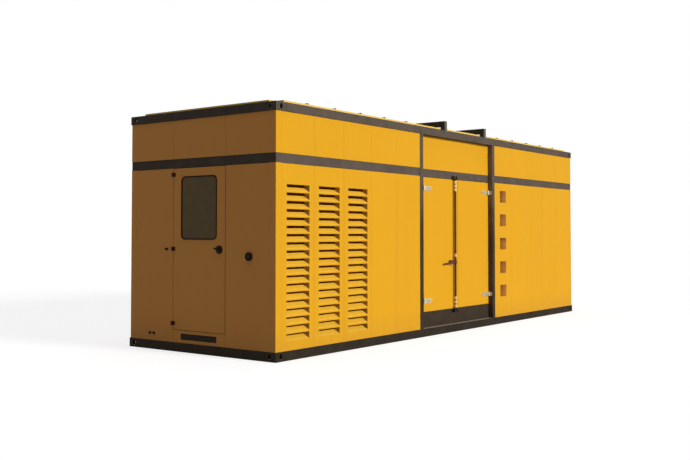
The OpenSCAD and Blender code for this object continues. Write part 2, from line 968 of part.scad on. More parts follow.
// Round lock plate with a seat for the lever's hub
module lock_plate() {
    color(black)
        on_end_wall(lock_y, lock_z)
            difference() {
                cylinder(r = lock_r, h = lock_t);
                translate([0, 0, lock_t / 2]) cylinder(r = lever_r + run_gap, h = lock_t);
            }
}

// Hub and round-ended arm, set clear in front of the plate
module lock_lever() {
    arm = lock_t + catch_gap;
    color(black)
        on_end_wall(lock_y, lock_z) {
            translate([0, 0, lock_t / 2 + run_gap]) cylinder(r = lever_r, h = arm + lever_t - lock_t / 2);
            rotate([0, 0, -lever_tilt]) {
                span([-lever_w / 2, 0, arm], [lever_w / 2, lever_l - lever_w / 2, arm + lever_t]);
                translate([0, lever_l - lever_w / 2, arm]) cylinder(d = lever_w, h = lever_t);
            }
        }
}

// Door leaf from its hinge edge to its bevelled meeting edge
module leaf(hinge_x, edge_x, bevel) {
    translate([0, leaf_y, kick_z + leaf_gap])
        linear_extrude(belt_z - kick_z - 2 * leaf_gap)
            polygon([[hinge_x, 0], [edge_x, 0], [edge_x + bevel, leaf_t], [hinge_x, leaf_t]]);
}

module left_leaf() {
    color(yellow) leaf(stile_x + leaf_gap, meet_x - meet_gap / 2, -meet_bevel);
}

module right_leaf() {
    color(yellow) leaf(door_x - leaf_gap, meet_x + meet_gap / 2, meet_bevel);
}

// Leaf half of a hinge: a bored upper barrel and a strap towards +X with rounded corners
module strap() {
    half = strap_h / 2;
    difference() {
        union() {
            cylinder(r = barrel_r, h = barrel_h);
            translate([0, pin_off, 0])
                rotate([90, 0, 0])
                    linear_extrude(strap_t) {
                        translate([plate_x, -half]) square([strap_l - strap_r - plate_x, strap_h]);
                        translate([plate_x, strap_r - half])
                            square([strap_l - plate_x, strap_h - 2 * strap_r]);
                        for (s = [-1, 1]) {
                            translate([strap_l - strap_r, s * (half - strap_r)]) circle(r = strap_r);
                        }
                        square([plate_x + eps, half]);
                    }
            span([0, 0, 0], [barrel_r, pin_off, barrel_h]);
        }
        translate([0, 0, -over]) cylinder(r = pin_r + run_gap, h = barrel_h + 2 * over);
    }
}

module left_straps() {
    color(silver)
        for (z = hinge_zs) {
            translate([left_pin_x, pin_y, z + run_gap]) strap();
        }
}

module right_straps() {
    color(silver)
        for (z = hinge_zs) {
            translate([right_pin_x, pin_y, z + run_gap]) mirror([1, 0, 0]) strap();
        }
}

// Guide round the rod: a foot plate on the leaf with a row of bored saddles
module rod_guide(z0, h) {
    r = rod_r + guide_t;
    n = max(1, floor(h / saddle_pitch));
    step = n > 1 ? (h - saddle_h) / (n - 1) : 0;
    first = n > 1 ? 0 : (h - saddle_h) / 2;
    translate([rod_x, rod_y, z0])
        difference() {
            union() {
                for (i = [0 : n - 1]) {
                    translate([0, 0, first + i * step]) {
                        cylinder(r = r, h = saddle_h);
                        span([-r, 0, 0], [r, rod_off, saddle_h]);
                    }
                }
                span([-guide_w / 2, rod_off - guide_t, 0], [guide_w / 2, rod_off, h]);
            }
            translate([0, 0, -over]) cylinder(r = rod_r + run_gap, h = h + 2 * over);
        }
}

// Catch behind the handle, between its lugs, with a ledge under the bar
module handle_catch() {
    half = catch_w / 2;
    back = rod_off - handle_t / 2 - catch_gap;
    low = (catch_x + catch_w) * tan(handle_droop) + handle_h / 2 + catch_gap;
    translate([rod_x - catch_x, leaf_y, handle_z]) {
        span([-half, -back, -low - catch_t], [half, 0, lug_h]);
        span([-half, -rod_off - handle_t / 2, -low - catch_t], [half, 0, -low]);
    }
}

module rod_guides() {
    color(silver) {
        rod_guide(belt_z - guide_end - guide_top_h - leaf_gap, guide_top_h);
        rod_guide(guide_mid_z, guide_mid_h);
        rod_guide(kick_z + guide_end, guide_low_h);
        handle_catch();
    }
}

// Drooping handle bar that tapers from the hub to a round grip end, towards -X, with its padlock lugs
module handle() {
    tip = handle_l - grip_h / 2;
    rotate([0, -handle_droop, 0])
        rotate([90, 0, 0])
            linear_extrude(handle_t, center = true) {
                polygon([[0, -handle_h / 2], [0, handle_h / 2], [-tip, grip_h / 2], [-tip, -grip_h / 2]]);
                translate([-tip, 0]) circle(d = grip_h);
                for (x = lug_xs) {
                    translate([-x - lug_w / 2, 0]) square([lug_w, lug_h]);
                }
            }
}

module lock_rod() {
    color(maroon)
        translate([rod_x, rod_y, 0]) {
            translate([0, 0, kick_z - keeper_h / 2]) cylinder(r = rod_r, h = belt_z - kick_z + keeper_h);
            for (z = [kick_z - keeper_h / 2, belt_z + keeper_h / 2]) {
                translate([0, 0, z - cam_h / 2]) cylinder(r = cam_r, h = cam_h);
            }
            translate([0, 0, handle_z - hub_h / 2]) cylinder(r = hub_r, h = hub_h);
            translate([0, 0, handle_z]) handle();
        }
}

base_rails();
cross_members();
floor_plate();
bottom_fittings();
top_fittings();
corner_posts();
belt_rail();
top_rail();
door_posts();
hinge_stile();
kick_plate();
doorway_belt();
doorway_panel();
front_louvre_panels();
front_plain_panels();
ladder_panel();
front_upper_panels();
rear_louvre_panels();
rear_plain_panels();
rear_upper_panels();
door_end_panels();
door_sill_panel();
far_end_panels();
end_upper_panels();
roof_plate();
roof_ribs();
roof_beams();
door_hinges_fixed();
lock_keepers();
personnel_hinges_fixed();
door_catch();
stop_button();
drain_ports();
personnel_door();
window_gasket();
window_glass();
personnel_hinges();
lock_plate();
lock_lever();
left_leaf();
left_straps();
rod_guides();
lock_rod();
right_leaf();
right_straps();
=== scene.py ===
import json
import math

import bmesh
import bpy
from mathutils import Matrix, Vector


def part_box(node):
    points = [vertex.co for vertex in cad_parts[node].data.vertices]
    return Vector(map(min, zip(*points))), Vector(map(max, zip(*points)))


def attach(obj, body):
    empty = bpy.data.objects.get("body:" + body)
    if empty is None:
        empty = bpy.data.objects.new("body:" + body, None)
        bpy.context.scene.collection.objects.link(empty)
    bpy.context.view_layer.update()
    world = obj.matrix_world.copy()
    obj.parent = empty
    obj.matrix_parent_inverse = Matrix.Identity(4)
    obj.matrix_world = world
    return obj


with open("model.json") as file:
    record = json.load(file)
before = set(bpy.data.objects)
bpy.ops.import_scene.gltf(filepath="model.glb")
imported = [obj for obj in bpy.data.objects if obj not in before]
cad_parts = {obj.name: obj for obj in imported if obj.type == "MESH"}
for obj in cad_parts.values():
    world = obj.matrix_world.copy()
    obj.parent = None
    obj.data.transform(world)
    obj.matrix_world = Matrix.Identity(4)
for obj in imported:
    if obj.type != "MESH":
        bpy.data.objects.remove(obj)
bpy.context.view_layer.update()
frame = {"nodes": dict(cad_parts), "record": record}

bl_info = {
    "name": "Generator enclosure dressing",
    "version": (1, 0, 0),
    "blender": (4, 5, 0),
    "location": "3D View > Sidebar > Enclosure",
    "description": "Finishes, small hardware and studio for a walk-in generator enclosure",
    "category": "Object",
}

MM = 0.001

# Nodes that share a finish
YELLOW_NODES = (
    "corner_posts", "hinge_stile", "doorway_panel", "front_plain_panels", "front_upper_panels",
    "rear_plain_panels", "rear_upper_panels", "door_end_panels", "door_sill_panel", "far_end_panels",
    "end_upper_panels", "personnel_door", "left_leaf", "right_leaf")
LOUVRE_NODES = ("front_louvre_panels", "rear_louvre_panels")
POCKET_NODES = ("ladder_panel",)
ROOF_NODES = ("roof_plate",)
FRAME_NODES = (
    "top_fittings", "belt_rail", "top_rail", "kick_plate", "doorway_belt", "lock_keepers", "door_catch",
    "drain_ports")
JAMB_NODES = ("door_posts",)
BEAM_NODES = ("roof_ribs", "roof_beams")
BASE_NODES = ("base_rails", "cross_members", "bottom_fittings", "floor_plate")
ZINC_NODES = ("door_hinges_fixed", "left_straps", "right_straps")
GUIDE_NODES = ("rod_guides",)
ROD_NODES = ("lock_rod",)
MAROON_NODES = ("personnel_hinges", "personnel_hinges_fixed")
PLASTIC_NODES = ("lock_plate", "lock_lever")
BUTTON_NODES = ("stop_button",)
RUBBER_NODES = ("window_gasket",)
GLASS_NODES = ("window_glass",)

# Noise lies mostly between these two values
NOISE = {"From_Min": 0.3, "From_Max": 0.7}

# A stock bolt's heights beside its widths: washer to its diameter, head to its flats
WASHER_HEIGHT = 0.1
HEAD_HEIGHT = 0.62

# A chamfer's start, as a share of the height, and the share of the radius that it leaves on top
WASHER_CHAMFER = (0.7, 0.94)
HEAD_CHAMFER = (0.86, 0.84)

# A weld bead's radius between two pools, and at its ends, beside that of a pool
BEAD_VALLEY = 0.82
BEAD_END = 0.45

# Where a pool of a weld bead is fullest and where it ends, as shares of its length
POOL_CREST = 0.35
POOL_END = 0.95


def linear(hex_colour):
    """sRGB hex to linear red, green and blue."""
    parts = [int(hex_colour[i:i + 2], 16) / 255 for i in (1, 3, 5)]
    return tuple(c / 12.92 if c <= 0.04045 else ((c + 0.055) / 1.055) ** 2.4 for c in parts)


def rgba(colour):
    """Linear colour with full alpha, as a socket takes it."""
    return (*colour, 1.0)


def tinted(colour, factor):
    """Linear colour made darker or lighter by a factor."""
    return tuple(c * factor for c in colour)


def per_metre(millimetres):
    """Scale of a pattern whose marks are this size."""
    return 1 / (millimetres * MM)


def link(tree, node, sources):
    """Joins sockets, or nodes by their first output in use, to a node's inputs."""
    for key, source in sources.items():
        if hasattr(source, "outputs"):
            source = next(socket for socket in source.outputs if socket.enabled)
        tree.links.new(source, node.inputs[key])


def add(tree, kind, links=None, stops=(), **settings):
    """Adds a node. settings set its attributes or its input sockets, where _ stands for a space and _1
    is the socket at index 1. links go to its inputs, and stops are the (position, linear colour) pairs
    of a colour ramp."""
    node = tree.nodes.new(kind)
    for key, value in settings.items():
        if hasattr(node, key):
            setattr(node, key, value)
        else:
            socket = int(key[1:]) if key[1:].isdigit() else key.replace("_", " ")
            node.inputs[socket].default_value = value
    if stops:
        elements = node.color_ramp.elements
        while len(elements) < len(stops):
            elements.new(0.5)
        for element, (position, colour) in zip(elements, stops):
            element.position = position
            element.color = rgba(colour)
    link(tree, node, links or {})
    return node


def shader(name, **sockets):
    """New material with a principled shader whose own sockets hold the constant values."""
    material = bpy.data.materials.new(name)
    material.use_nodes = True
    bsdf = material.node_tree.nodes["Principled BSDF"]
    for key, value in sockets.items():
        bsdf.inputs[key.replace("_", " ")].default_value = value
    return material, material.node_tree, bsdf


def facings(tree, normal):
    """How far a face looks to the door end, which is at -X, and how far it looks up. These masks place
    painted shade and painted light.
    """
    parts = add(tree, "ShaderNodeSeparateXYZ", {"Vector": normal})
    painted_end_mask = add(tree, "ShaderNodeMapRange", {"Value": parts.outputs["X"]}, From_Min=-0.6, From_Max=-0.9)
    up = add(tree, "ShaderNodeMapRange", {"Value": parts.outputs["Z"]}, From_Min=0.4, From_Max=0.8)
    return painted_end_mask, up


def make_powder_coat(name, paint, colour, end_shade, top_light_and_dust, gloss, pocket_shade=None):
    """Polyester powder coat on folded sheet: an even, satin yellow whose sheets differ by a hair,
    with a fine orange peel, a slow wave of the sheet, painted shade as a browner hue on what looks to the
    door end, painted top light as a paler yellow where a face looks up and a little soil towards the ground.
    pocket_shade is the front and the back of a step recess, along Y, between which painted shade darkens."""
    # Size of a sheet along a side, along an end and up, size of a rain streak, and weight of a sheet's
    # own shade beside its clouds and streaks
    sheet_size = tuple(n * MM for n in (580, 750, 2300))
    streak_scale = tuple(per_metre(n) for n in (70, 70, 2200))
    sheet_share = 0.35
    material, tree, bsdf = shader(name, IOR=1.5, Specular_IOR_Level=gloss)
    spot = add(tree, "ShaderNodeTexCoord")
    place = spot.outputs["Object"]
    painted_end_mask, up = facings(tree, spot.outputs["Normal"])
    parts = add(tree, "ShaderNodeSeparateXYZ", {"Vector": place})
    sheet = add(tree, "ShaderNodeVectorMath", {0: place}, operation="SNAP", _1=sheet_size)
    shade = add(tree, "ShaderNodeTexWhiteNoise", {"Vector": sheet}, noise_dimensions="3D")
    cloud = add(tree, "ShaderNodeTexNoise", {"Vector": place}, Scale=per_metre(900), Detail=3,
                Roughness=0.55)
    stretch = add(tree, "ShaderNodeVectorMath", {0: place}, operation="MULTIPLY", _1=streak_scale)
    streak = add(tree, "ShaderNodeTexNoise", {"Vector": stretch}, Scale=1, Detail=4, Roughness=0.6)
    mixed = add(tree, "ShaderNodeMath", {0: cloud, 1: streak}, operation="ADD")
    tone = add(tree, "ShaderNodeMath", {0: shade, 2: mixed}, operation="MULTIPLY_ADD", _1=sheet_share)
    level = add(tree, "ShaderNodeMapRange", {"Value": tone}, From_Min=0.7, From_Max=1.65)
    coat = add(tree, "ShaderNodeValToRGB", {"Fac": level},
               stops=[(0.0, tinted(colour, 0.965)), (0.5, colour), (1.0, tinted(colour, 1.02))])
    # Painted shade: faces that look to the door end take a browner colour.
    end_shaded = add(tree, "ShaderNodeMix", {"Factor": painted_end_mask, "A": coat}, data_type="RGBA", B=rgba(end_shade))
    # Painted shade: in a step pocket the sides darken from the mouth towards the back.
    if pocket_shade:
        front, back = pocket_shade
        inward = add(tree, "ShaderNodeMapRange", {"Value": parts.outputs["Y"]},
                     From_Min=front, From_Max=back)
        shaded = add(tree, "ShaderNodeValToRGB", {"Fac": inward},
                     stops=[(0.15, tinted(end_shade, 1.15)), (0.95, tinted(end_shade, 0.68))])
        link(tree, end_shaded, {"B": shaded})
    # Painted light: faces that look up turn to a paler, brighter yellow.
    top_lit_and_dusted = add(tree, "ShaderNodeMix", {"Factor": up, "A": end_shaded}, data_type="RGBA", B=rgba(top_light_and_dust))
    low = add(tree, "ShaderNodeMapRange", {"Value": parts.outputs["Z"]}, interpolation_type="SMOOTHSTEP",
              From_Min=450 * MM, From_Max=100 * MM, To_Min=0, To_Max=paint.dust)
    patchy = add(tree, "ShaderNodeTexNoise", {"Vector": place}, Scale=per_metre(120), Detail=5,
                 Roughness=0.65)
    soil = add(tree, "ShaderNodeMath", {0: low, 1: patchy}, operation="MULTIPLY")
    soiled = add(tree, "ShaderNodeMix", {"Factor": soil, "A": top_lit_and_dusted}, data_type="RGBA", B=rgba(paint.soil))
    rough = add(tree, "ShaderNodeMapRange", {"Value": mixed}, From_Min=0.6, From_Max=1.4,
                To_Min=0.6, To_Max=0.74)
    # The peel is about 2 mm in life; it is drawn at 9 mm so that it shows at this distance.
    peel = add(tree, "ShaderNodeTexNoise", {"Vector": place}, Scale=per_metre(9), Detail=1)
    wave = add(tree, "ShaderNodeTexNoise", {"Vector": place}, Scale=per_metre(420), Detail=1)
    fine = add(tree, "ShaderNodeBump", {"Height": peel}, Strength=0.05, Distance=1 * MM)
    bump = add(tree, "ShaderNodeBump", {"Height": wave, "Normal": fine}, Strength=0.12, Distance=10 * MM)
    link(tree, bsdf, {"Base Color": soiled, "Roughness": rough, "Normal": bump})
    return material


def make_frame_paint(name, upper, lower, dust, painted_end_tone, gloss):
    """Alkyd paint brushed on rolled section: a flat brown-grey, darker where splash and soot settle
    on the lower frame, with painted shade and painted light in its tone where it looks to the door end,
    paler with dust and painted top light where it looks up, with rubbed patches and mill scale showing as a
    soft mottle."""
    # The soil thins out between these two heights, and the mottle makes their line waver.
    soil_full, soil_gone, waver = 1550 * MM, 2500 * MM, 500 * MM
    material, tree, bsdf = shader(name, IOR=1.5, Specular_IOR_Level=gloss)
    spot = add(tree, "ShaderNodeTexCoord")
    place = spot.outputs["Object"]
    painted_end_mask, up = facings(tree, spot.outputs["Normal"])
    height = add(tree, "ShaderNodeSeparateXYZ", {"Vector": place}).outputs["Z"]
    mottle = add(tree, "ShaderNodeTexNoise", {"Vector": place}, Scale=per_metre(160), Detail=6,
                 Roughness=0.62)
    spread = add(tree, "ShaderNodeMath", {0: mottle, 2: height}, operation="MULTIPLY_ADD", _1=waver)
    rise = add(tree, "ShaderNodeMapRange", {"Value": spread}, interpolation_type="SMOOTHSTEP",
               From_Min=soil_full, From_Max=soil_gone)
    base = add(tree, "ShaderNodeValToRGB", {"Fac": rise}, stops=[(0.0, lower), (1.0, upper)])
    rubbed = add(tree, "ShaderNodeMapRange", {"Value": mottle}, **NOISE, To_Min=0.86, To_Max=1.14)
    # Painted shade and light: faces that look to the door end are scaled darker on rails and roof steel,
    # lighter on jambs and base.
    painted_end_scale = add(tree, "ShaderNodeMapRange", {"Value": painted_end_mask}, To_Min=1, To_Max=painted_end_tone)
    tone = add(tree, "ShaderNodeMath", {0: rubbed, 1: painted_end_scale}, operation="MULTIPLY")
    worn = add(tree, "ShaderNodeVectorMath", {0: base, "Scale": tone}, operation="SCALE")
    # Dust and painted light: faces that look up turn paler.
    top_lit_and_dusted = add(tree, "ShaderNodeMix", {"Factor": up, "A": worn}, data_type="RGBA", B=rgba(dust))
    rough = add(tree, "ShaderNodeMapRange", {"Value": mottle}, **NOISE, To_Min=0.78, To_Max=0.64)
    # The brush marks are about 2 mm apart in life; they are drawn at 12 mm so that they show from here.
    grain = add(tree, "ShaderNodeTexNoise", {"Vector": place}, Scale=per_metre(12), Detail=3)
    bump = add(tree, "ShaderNodeBump", {"Height": grain}, Strength=0.15, Distance=1 * MM)
    link(tree, bsdf, {"Base Color": top_lit_and_dusted, "Roughness": rough, "Normal": bump})
    return material


def make_zinc(name, colour):
    """Zinc plate on steel: bright, with a faint mottle of crystals and the dull fingerprints of a
    passivated coat."""
    material, tree, bsdf = shader(name, Metallic=1)
    place = add(tree, "ShaderNodeTexCoord").outputs["Object"]
    # The crystals are under 1 mm in life; they are drawn at 11 mm so that they show at this distance.
    crystal = add(tree, "ShaderNodeTexVoronoi", {"Vector": place}, Scale=per_metre(11), feature="F1")
    cloud = add(tree, "ShaderNodeTexNoise", {"Vector": place}, Scale=per_metre(30), Detail=4)
    mixed = add(tree, "ShaderNodeMath", {0: crystal, 1: cloud}, operation="ADD")
    coat = add(tree, "ShaderNodeValToRGB", {"Fac": mixed},
               stops=[(0.3, tinted(colour, 0.78)), (1.0, colour)])
    rough = add(tree, "ShaderNodeMapRange", {"Value": mixed}, From_Min=0.3, From_Max=1.1,
                To_Min=0.3, To_Max=0.5)
    bump = add(tree, "ShaderNodeBump", {"Height": mixed}, Strength=0.08, Distance=0.5 * MM)
    link(tree, bsdf, {"Base Color": coat, "Roughness": rough, "Normal": bump})
    return material


def make_enamel(name, colour, grease=None):
    """Enamel dipped over steel: a deep even red-brown with a soft gloss and dull rubbed spots. grease is
    a colour and two heights, below and above which that grease lies on the enamel."""
    material, tree, bsdf = shader(name, IOR=1.5, Specular_IOR_Level=0.1)
    place = add(tree, "ShaderNodeTexCoord").outputs["Object"]
    cloud = add(tree, "ShaderNodeTexNoise", {"Vector": place}, Scale=per_metre(50), Detail=5)
    coat = add(tree, "ShaderNodeValToRGB", {"Fac": cloud},
               stops=[(0.3, tinted(colour, 0.8)), (0.7, tinted(colour, 1.2))])
    if grease:
        grease_colour, low, high = grease
        smear = 8 * MM
        height = add(tree, "ShaderNodeSeparateXYZ", {"Vector": place}).outputs["Z"]
        foot = add(tree, "ShaderNodeMapRange", {"Value": height},
                   From_Min=low + smear, From_Max=low - smear)
        head = add(tree, "ShaderNodeMapRange", {"Value": height},
                   From_Min=high - smear, From_Max=high + smear)
        ends = add(tree, "ShaderNodeMath", {0: foot, 1: head}, operation="MAXIMUM")
        coat = add(tree, "ShaderNodeMix", {"Factor": ends, "A": coat}, data_type="RGBA",
                   B=rgba(grease_colour))
    rough = add(tree, "ShaderNodeMapRange", {"Value": cloud}, **NOISE, To_Min=0.34, To_Max=0.5)
    bump = add(tree, "ShaderNodeBump", {"Height": cloud}, Strength=0.1, Distance=0.6 * MM)
    link(tree, bsdf, {"Base Color": coat, "Roughness": rough, "Normal": bump})
    return material


def make_moulded_plastic(name, colour):
    """Glass-filled nylon moulded in a sparked tool: near black, with a fine matt grain."""
    material, tree, bsdf = shader(name, IOR=1.53, Specular_IOR_Level=0.06)
    place = add(tree, "ShaderNodeTexCoord").outputs["Object"]
    # The spark grain is about 0.3 mm in life; it is drawn at 2 mm so that it shows close up.
    grain = add(tree, "ShaderNodeTexNoise", {"Vector": place}, Scale=per_metre(2), Detail=2)
    skin = add(tree, "ShaderNodeValToRGB", {"Fac": grain},
               stops=[(0.3, tinted(colour, 0.8)), (0.7, tinted(colour, 1.2))])
    rough = add(tree, "ShaderNodeMapRange", {"Value": grain}, **NOISE, To_Min=0.45, To_Max=0.6)
    bump = add(tree, "ShaderNodeBump", {"Height": grain}, Strength=0.12, Distance=0.3 * MM)
    link(tree, bsdf, {"Base Color": skin, "Roughness": rough, "Normal": bump})
    return material


def make_button(name, ring_colour, head_colour, centre):
    """Polycarbonate push button in a black moulded ring: the head is a dark disc,
    told from the ring by its distance from the button's axis."""
    # Radius of the head, radius inside the ring, and how far the edge between them wavers
    head, ring, waver = 26 * MM, 29 * MM, 1 * MM
    material, tree, bsdf = shader(name, IOR=1.58, Specular_IOR_Level=0.05, Roughness=0.4)
    place = add(tree, "ShaderNodeTexCoord").outputs["Object"]
    flat = add(tree, "ShaderNodeVectorMath", {0: place}, operation="MULTIPLY", _1=(0, 1, 1))
    reach = add(tree, "ShaderNodeVectorMath", {0: flat}, operation="DISTANCE", _1=(0, centre.y, centre.z))
    # The spark grain is about 0.3 mm in life; it is drawn at 4 mm so that it shows close up.
    grain = add(tree, "ShaderNodeTexNoise", {"Vector": place}, Scale=per_metre(4), Detail=2)
    edge = add(tree, "ShaderNodeMath", {0: grain, 2: reach}, operation="MULTIPLY_ADD", _1=waver)
    zone = add(tree, "ShaderNodeMapRange", {"Value": edge}, From_Min=head, From_Max=ring)
    skin = add(tree, "ShaderNodeValToRGB", {"Fac": zone}, stops=[(0.0, head_colour), (1.0, ring_colour)])
    bump = add(tree, "ShaderNodeBump", {"Height": grain}, Strength=0.06, Distance=0.4 * MM)
    link(tree, bsdf, {"Base Color": skin, "Normal": bump})
    return material


def make_rubber(name, colour):
    """Black rubber, extruded or cut from sheet: matt, with a grey bloom where the skin has weathered."""
    material, tree, bsdf = shader(name, IOR=1.52, Specular_IOR_Level=0.06)
    place = add(tree, "ShaderNodeTexCoord").outputs["Object"]
    bloom = add(tree, "ShaderNodeTexNoise", {"Vector": place}, Scale=per_metre(25), Detail=4)
    skin = add(tree, "ShaderNodeValToRGB", {"Fac": bloom},
               stops=[(0.35, colour), (0.75, tinted(colour, 1.7))])
    rough = add(tree, "ShaderNodeMapRange", {"Value": bloom}, **NOISE, To_Min=0.65, To_Max=0.8)
    link(tree, bsdf, {"Base Color": skin, "Roughness": rough})
    return material


def make_foam(name, colour):
    """Polyether foam cut in wedges: dull brown, open pored, with dust settled in its skin."""
    material, tree, bsdf = shader(name, IOR=1.4, Specular_IOR_Level=0.05)
    place = add(tree, "ShaderNodeTexCoord").outputs["Object"]
    # The pores are about 0.5 mm in life; they are drawn at 5 mm so that they show at this distance.
    pores = add(tree, "ShaderNodeTexVoronoi", {"Vector": place}, Scale=per_metre(5), feature="F1")
    skin = add(tree, "ShaderNodeValToRGB", {"Fac": pores},
               stops=[(0.1, tinted(colour, 0.6)), (0.7, tinted(colour, 1.3))])
    rough = add(tree, "ShaderNodeMapRange", {"Value": pores}, To_Min=0.95, To_Max=0.85)
    bump = add(tree, "ShaderNodeBump", {"Height": pores}, Strength=0.4, Distance=2 * MM)
    link(tree, bsdf, {"Base Color": skin, "Roughness": rough, "Normal": bump})
    return material


def make_glass(name, colour):
    """Body-tinted glass, floated flat on tin: dark olive, with a faint ripple in what it mirrors."""
    material, tree, bsdf = shader(name, IOR=1.52, Transmission_Weight=0.25, Specular_IOR_Level=0.05)
    place = add(tree, "ShaderNodeTexCoord").outputs["Object"]
    ripple = add(tree, "ShaderNodeTexNoise", {"Vector": place}, Scale=per_metre(140), Detail=2)
    tint = add(tree, "ShaderNodeValToRGB", {"Fac": ripple},
               stops=[(0.3, tinted(colour, 0.9)), (0.7, tinted(colour, 1.12))])
    haze = add(tree, "ShaderNodeMapRange", {"Value": ripple}, **NOISE, To_Min=0.08, To_Max=0.2)
    bump = add(tree, "ShaderNodeBump", {"Height": ripple}, Strength=0.04, Distance=4 * MM)
    link(tree, bsdf, {"Base Color": tint, "Roughness": haze, "Normal": bump})
    return material


def opening(name):
    """Low and high corner of a stated opening."""
    openings = frame["record"]["physics"]["openings"]
    box = next(entry["box_m"] for entry in openings if entry["name"] == name)
    return [Vector(corner) for corner in box]


def dress(nodes, material):
    """Gives CAD nodes their finish."""
    for name in nodes:
        obj = frame["nodes"][name]
        obj.data.materials.clear()
        obj.data.materials.append(material)


def piece(name, bm, material, body):
    """Turns a bmesh into a piece that rides on a body and takes its finish from a slot."""
    bmesh.ops.recalc_face_normals(bm, faces=bm.faces)
    mesh = bpy.data.meshes.new(name)
    bm.to_mesh(mesh)
    bm.free()
    mesh.materials.append(material)
    obj = bpy.data.objects.new(name, mesh)
    bpy.context.scene.collection.objects.link(obj)
    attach(obj, body)


def cover(bm, loops, ring=False):
    """Joins loops of points with quads. A ring's last loop meets its first, or else both ends are closed."""
    following = loops[1:] + loops[:1] if ring else loops[1:]
    for one, two in zip(loops, following):
        for i in range(len(one)):
            j = (i + 1) % len(one)
            bm.faces.new((one[i], one[j], two[j], two[i]))
    if not ring:
        bm.faces.new(reversed(loops[0]))
        bm.faces.new(loops[-1])


def stack(bm, place, rings, sides):
    """Closed turned form: rings are (radius, height) from foot to head, placed by a matrix."""
    turn = 2 * math.pi / sides
    spokes = [(math.cos(i * turn), math.sin(i * turn)) for i in range(sides)]
    loops = []
    for radius, height in rings:
        points = [Vector((radius * x, radius * y, height)) for x, y in spokes]
        loops.append([bm.verts.new(place @ point) for point in points])
    cover(bm, loops)


def facing(point, outward):
    """Matrix that stands a form on a face at point, its height along outward."""
    return Matrix.Translation(point) @ Vector(outward).to_track_quat("Z", "Y").to_matrix().to_4x4()


def hex_bolt(bm, point, outward, settings):
    """Hexagon head with a chamfered crown on a plain washer."""
    place = facing(point, outward)
    washer = settings.washer / 2
    thin = settings.washer * WASHER_HEIGHT
    head = settings.flats / math.sqrt(3)
    tall = settings.flats * HEAD_HEIGHT
    start, crown = WASHER_CHAMFER
    stack(bm, place, [(washer, 0), (washer, thin * start), (washer * crown, thin)], sides=20)
    start, crown = HEAD_CHAMFER
    stack(bm, place, [(head, thin), (head, tall * start), (head * crown, tall)], sides=6)


def frame_strip(bm, corners, outward, profile):
    """Strip round a rectangle: corners are its low and high one, profile the section as (grow, depth)."""
    low, high = corners
    normal = Vector(outward)
    along = Vector((abs(normal.y), abs(normal.x), 0))
    loops = []
    for grow, depth in profile:
        a, b = low.dot(along) - grow, high.dot(along) + grow
        z0, z1 = low.z - grow, high.z + grow
        level = low.dot(normal) - depth
        loops.append([bm.verts.new(along * s + normal * level + Vector((0, 0, z)))
                      for s, z in ((a, z0), (b, z0), (b, z1), (a, z1))])
    cover(bm, loops, ring=True)


def strip(bm, across, up, face, thick):
    """Hanging strip that bows out by half its thickness in the middle."""
    steps = 8
    section = ((face, across[0]), (face, across[1]), (face + thick, across[1]), (face + thick, across[0]))
    loops = []
    for i in range(steps + 1):
        t = i / steps
        bow = 0.5 * thick * math.sin(math.pi * t)
        z = up[1] + (up[0] - up[1]) * t
        loops.append([bm.verts.new((x - bow, y, z)) for x, y in section])
    cover(bm, loops)


def wedge_foam(bm, low, high, back, settings):
    """Upright foam slab whose face towards low.y waves in round wedges; back is its flat rear plane."""
    steps = 6
    count = steps * round((high.x - low.x) / settings.wedge_pitch)
    loops = []
    for i in range(count + 1):
        x = low.x + (high.x - low.x) * i / count
        dip = 0.5 * (1 - math.cos(2 * math.pi * i / steps))
        face = low.y + math.copysign(settings.wedge * dip, back - low.y)
        section = ((face, low.z), (face, high.z), (back, high.z), (back, low.z))
        loops.append([bm.verts.new((x, y, z)) for y, z in section])
    cover(bm, loops)


def weld(bm, start, end, settings):
    """Rippled bead along a line, one swell for each pool of the weld."""
    run = end - start
    pools = max(3, round(run.length / settings.pool))
    rings = [(settings.bead * BEAD_END, 0)]
    for i in range(pools):
        rings.append((settings.bead, run.length * (i + POOL_CREST) / pools))
        rings.append((settings.bead * BEAD_VALLEY, run.length * (i + POOL_END) / pools))
    rings.append((settings.bead * BEAD_END, run.length))
    stack(bm, facing(start, run.normalized()), rings, sides=8)


def colour_property(name, description, hex_colour):
    """Colour setting with an sRGB hex default."""
    return bpy.props.FloatVectorProperty(name=name, description=description, default=linear(hex_colour),
                                         subtype="COLOR", min=0, max=1, size=3)


def length_property(name, description, millimetres):
    """Length setting with a default in millimetres."""
    return bpy.props.FloatProperty(name=name, description=description, default=millimetres * MM,
                                   unit="LENGTH")


def angle_property(name, description, degrees):
    """Angle setting with a default in degrees."""
    return bpy.props.FloatProperty(name=name, description=description, default=math.radians(degrees),
                                   subtype="ANGLE")


def share_property(name, description, default):
    """Setting from none to all."""
    return bpy.props.FloatProperty(name=name, description=description, default=default, min=0, max=1,
                                   subtype="FACTOR")


def level_property(name, description, default):
    """Strength or tone, from none upwards."""
    return bpy.props.FloatProperty(name=name, description=description, default=default, min=0)


def count_property(name, description, default):
    """Number of like pieces."""
    return bpy.props.IntProperty(name=name, description=description, default=default, min=1)


